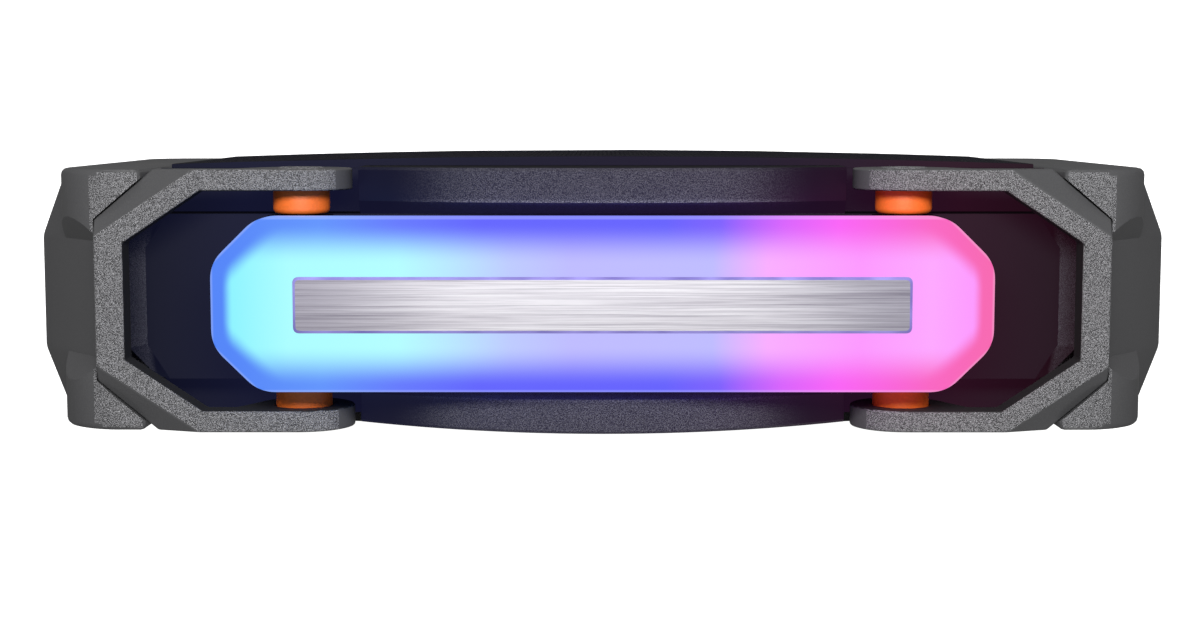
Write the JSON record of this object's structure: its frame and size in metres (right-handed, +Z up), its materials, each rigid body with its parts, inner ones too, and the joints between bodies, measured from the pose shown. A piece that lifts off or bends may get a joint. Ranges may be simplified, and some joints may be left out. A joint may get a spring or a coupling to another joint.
{
  "type": "party speaker",
  "caption": "Wide slim party speaker: light bar on top, bulging front grille, faceted end guards and swing-up carry handles on orange bushes.",
  "frame": {"origin": "on the floor, under the middle of the speaker", "axes": "+Z up, -Y the grille side (front), +X along the length"},
  "size_m": [0.608, 0.146, 0.2821],
  "materials": {
    "black_grained_plastic": "fine spark-eroded grain",
    "black_painted_steel": "powder coated, perforated",
    "grey_grained_plastic": "fine sparkling grain",
    "orange_rubber": "satin",
    "black_rubber": "matte",
    "light_diffuser": "frosted, lit from below",
    "brushed_aluminium": "brushed along the length",
    "dark_metal": "satin",
    "coated_paper": "pressed fibre",
    "circuit_board": "solder mask",
    "blue_shrink_wrap": "shrunk film"
  },
  "bodies": {
    "cabinet": {"amplifier_board": "circuit_board", "battery_pack": "blue_shrink_wrap", "brushed_plate": "brushed_aluminium", "cabinet_shell": "black_grained_plastic", "control_strip": "black_grained_plastic", "end_guard_left": "grey_grained_plastic", "end_guard_right": "grey_grained_plastic", "foot_front_left": "black_rubber", "foot_front_right": "black_rubber", "foot_rear_left": "black_rubber", "foot_rear_right": "black_rubber", "front_baffle": "black_grained_plastic", "front_grille": "black_painted_steel", "light_board": "circuit_board", "light_diffuser": "light_diffuser", "light_tray": "black_grained_plastic", "line_in_socket": "dark_metal", "mains_inlet": "dark_metal", "pivot_bolt_front_left": "grey_grained_plastic", "pivot_bolt_front_right": "grey_grained_plastic", "pivot_bolt_rear_left": "grey_grained_plastic", "pivot_bolt_rear_right": "grey_grained_plastic", "pivot_bush_front_left": "orange_rubber", "pivot_bush_front_right": "orange_rubber", "pivot_bush_rear_left": "orange_rubber", "pivot_bush_rear_right": "orange_rubber", "port_cover_pin": "dark_metal", "radiator_surround_left": "black_rubber", "radiator_surround_right": "black_rubber", "rear_cover": "black_grained_plastic", "rear_panel": "black_grained_plastic", "top_casing": "black_grained_plastic", "tweeter_left": "dark_metal", "tweeter_right": "dark_metal", "usb_socket": "dark_metal", "woofer_basket_left": "dark_metal", "woofer_basket_right": "dark_metal", "woofer_magnet_left": "dark_metal", "woofer_magnet_right": "dark_metal", "woofer_surround_left": "black_rubber", "woofer_surround_right": "black_rubber"},
    "bass_knob": {"bass_knob": "black_grained_plastic"},
    "button_bass": {"button_bass": "black_rubber"},
    "button_light": {"button_light": "black_rubber"},
    "button_pairing": {"button_pairing": "black_rubber"},
    "button_play": {"button_play": "black_rubber"},
    "button_power": {"button_power": "black_rubber"},
    "button_volume_down": {"button_volume_down": "black_rubber"},
    "button_volume_up": {"button_volume_up": "black_rubber"},
    "handle_left": {"handle_left": "grey_grained_plastic"},
    "handle_right": {"handle_right": "grey_grained_plastic"},
    "microphone_knob": {"microphone_knob": "black_grained_plastic"},
    "port_cover": {"port_cover": "black_rubber"},
    "radiator_plate_left": {"radiator_plate_left": "dark_metal"},
    "radiator_plate_right": {"radiator_plate_right": "dark_metal"},
    "woofer_cone_left": {"woofer_cone_left": "coated_paper"},
    "woofer_cone_right": {"woofer_cone_right": "coated_paper"}
  },
  "joints": [
    {"name": "handle_right_hinge", "type": "hinge", "parent": "cabinet", "child": "handle_right", "pos_m": [0.157, 0, 0.2365], "axis": [0, -1, 0], "range_deg": [0, 90]},
    {"name": "handle_left_hinge", "type": "hinge", "parent": "cabinet", "child": "handle_left", "pos_m": [-0.157, 0, 0.2365], "axis": [0, 1, 0], "range_deg": [0, 90]},
    {"name": "woofer_cone_right_travel", "type": "slide", "parent": "cabinet", "child": "woofer_cone_right", "axis": [0, -1, 0], "range_m": [-0.004, 0.004], "stiffness_N_per_m": 2000},
    {"name": "radiator_plate_right_travel", "type": "slide", "parent": "cabinet", "child": "radiator_plate_right", "axis": [0, 1, 0], "range_m": [-0.004, 0.004], "stiffness_N_per_m": 1500},
    {"name": "woofer_cone_left_travel", "type": "slide", "parent": "cabinet", "child": "woofer_cone_left", "axis": [0, -1, 0], "range_m": [-0.004, 0.004], "stiffness_N_per_m": 2000},
    {"name": "radiator_plate_left_travel", "type": "slide", "parent": "cabinet", "child": "radiator_plate_left", "axis": [0, 1, 0], "range_m": [-0.004, 0.004], "stiffness_N_per_m": 1500},
    {"name": "button_power_press", "type": "slide", "parent": "cabinet", "child": "button_power", "axis": [0, 1, 0], "range_m": [0, 0.001], "stiffness_N_per_m": 600, "springref_m": -0.001},
    {"name": "button_pairing_press", "type": "slide", "parent": "cabinet", "child": "button_pairing", "axis": [0, 1, 0], "range_m": [0, 0.001], "stiffness_N_per_m": 600, "springref_m": -0.001},
    {"name": "button_bass_press", "type": "slide", "parent": "cabinet", "child": "button_bass", "axis": [0, 1, 0], "range_m": [0, 0.001], "stiffness_N_per_m": 600, "springref_m": -0.001},
    {"name": "button_play_press", "type": "slide", "parent": "cabinet", "child": "button_play", "axis": [0, 1, 0], "range_m": [0, 0.001], "stiffness_N_per_m": 600, "springref_m": -0.001},
    {"name": "button_light_press", "type": "slide", "parent": "cabinet", "child": "button_light", "axis": [0, 1, 0], "range_m": [0, 0.001], "stiffness_N_per_m": 600, "springref_m": -0.001},
    {"name": "button_volume_down_press", "type": "slide", "parent": "cabinet", "child": "button_volume_down", "axis": [0, 1, 0], "range_m": [0, 0.001], "stiffness_N_per_m": 600, "springref_m": -0.001},
    {"name": "button_volume_up_press", "type": "slide", "parent": "cabinet", "child": "button_volume_up", "axis": [0, 1, 0], "range_m": [0, 0.001], "stiffness_N_per_m": 600, "springref_m": -0.001},
    {"name": "bass_knob_turn", "type": "hinge", "parent": "cabinet", "child": "bass_knob", "pos_m": [0.026, 0.064, 0.128], "axis": [0, 1, 0], "range_deg": [-135, 135]},
    {"name": "microphone_knob_turn", "type": "hinge", "parent": "cabinet", "child": "microphone_knob", "pos_m": [-0.026, 0.064, 0.128], "axis": [0, 1, 0], "range_deg": [-135, 135]},
    {"name": "port_cover_hinge", "type": "hinge", "parent": "cabinet", "child": "port_cover", "pos_m": [0, 0.0677, 0.058], "axis": [-1, 0, 0], "range_deg": [0, 110], "stiffness_Nm_per_rad": 0.03, "springref_deg": -17.19}
  ]
}
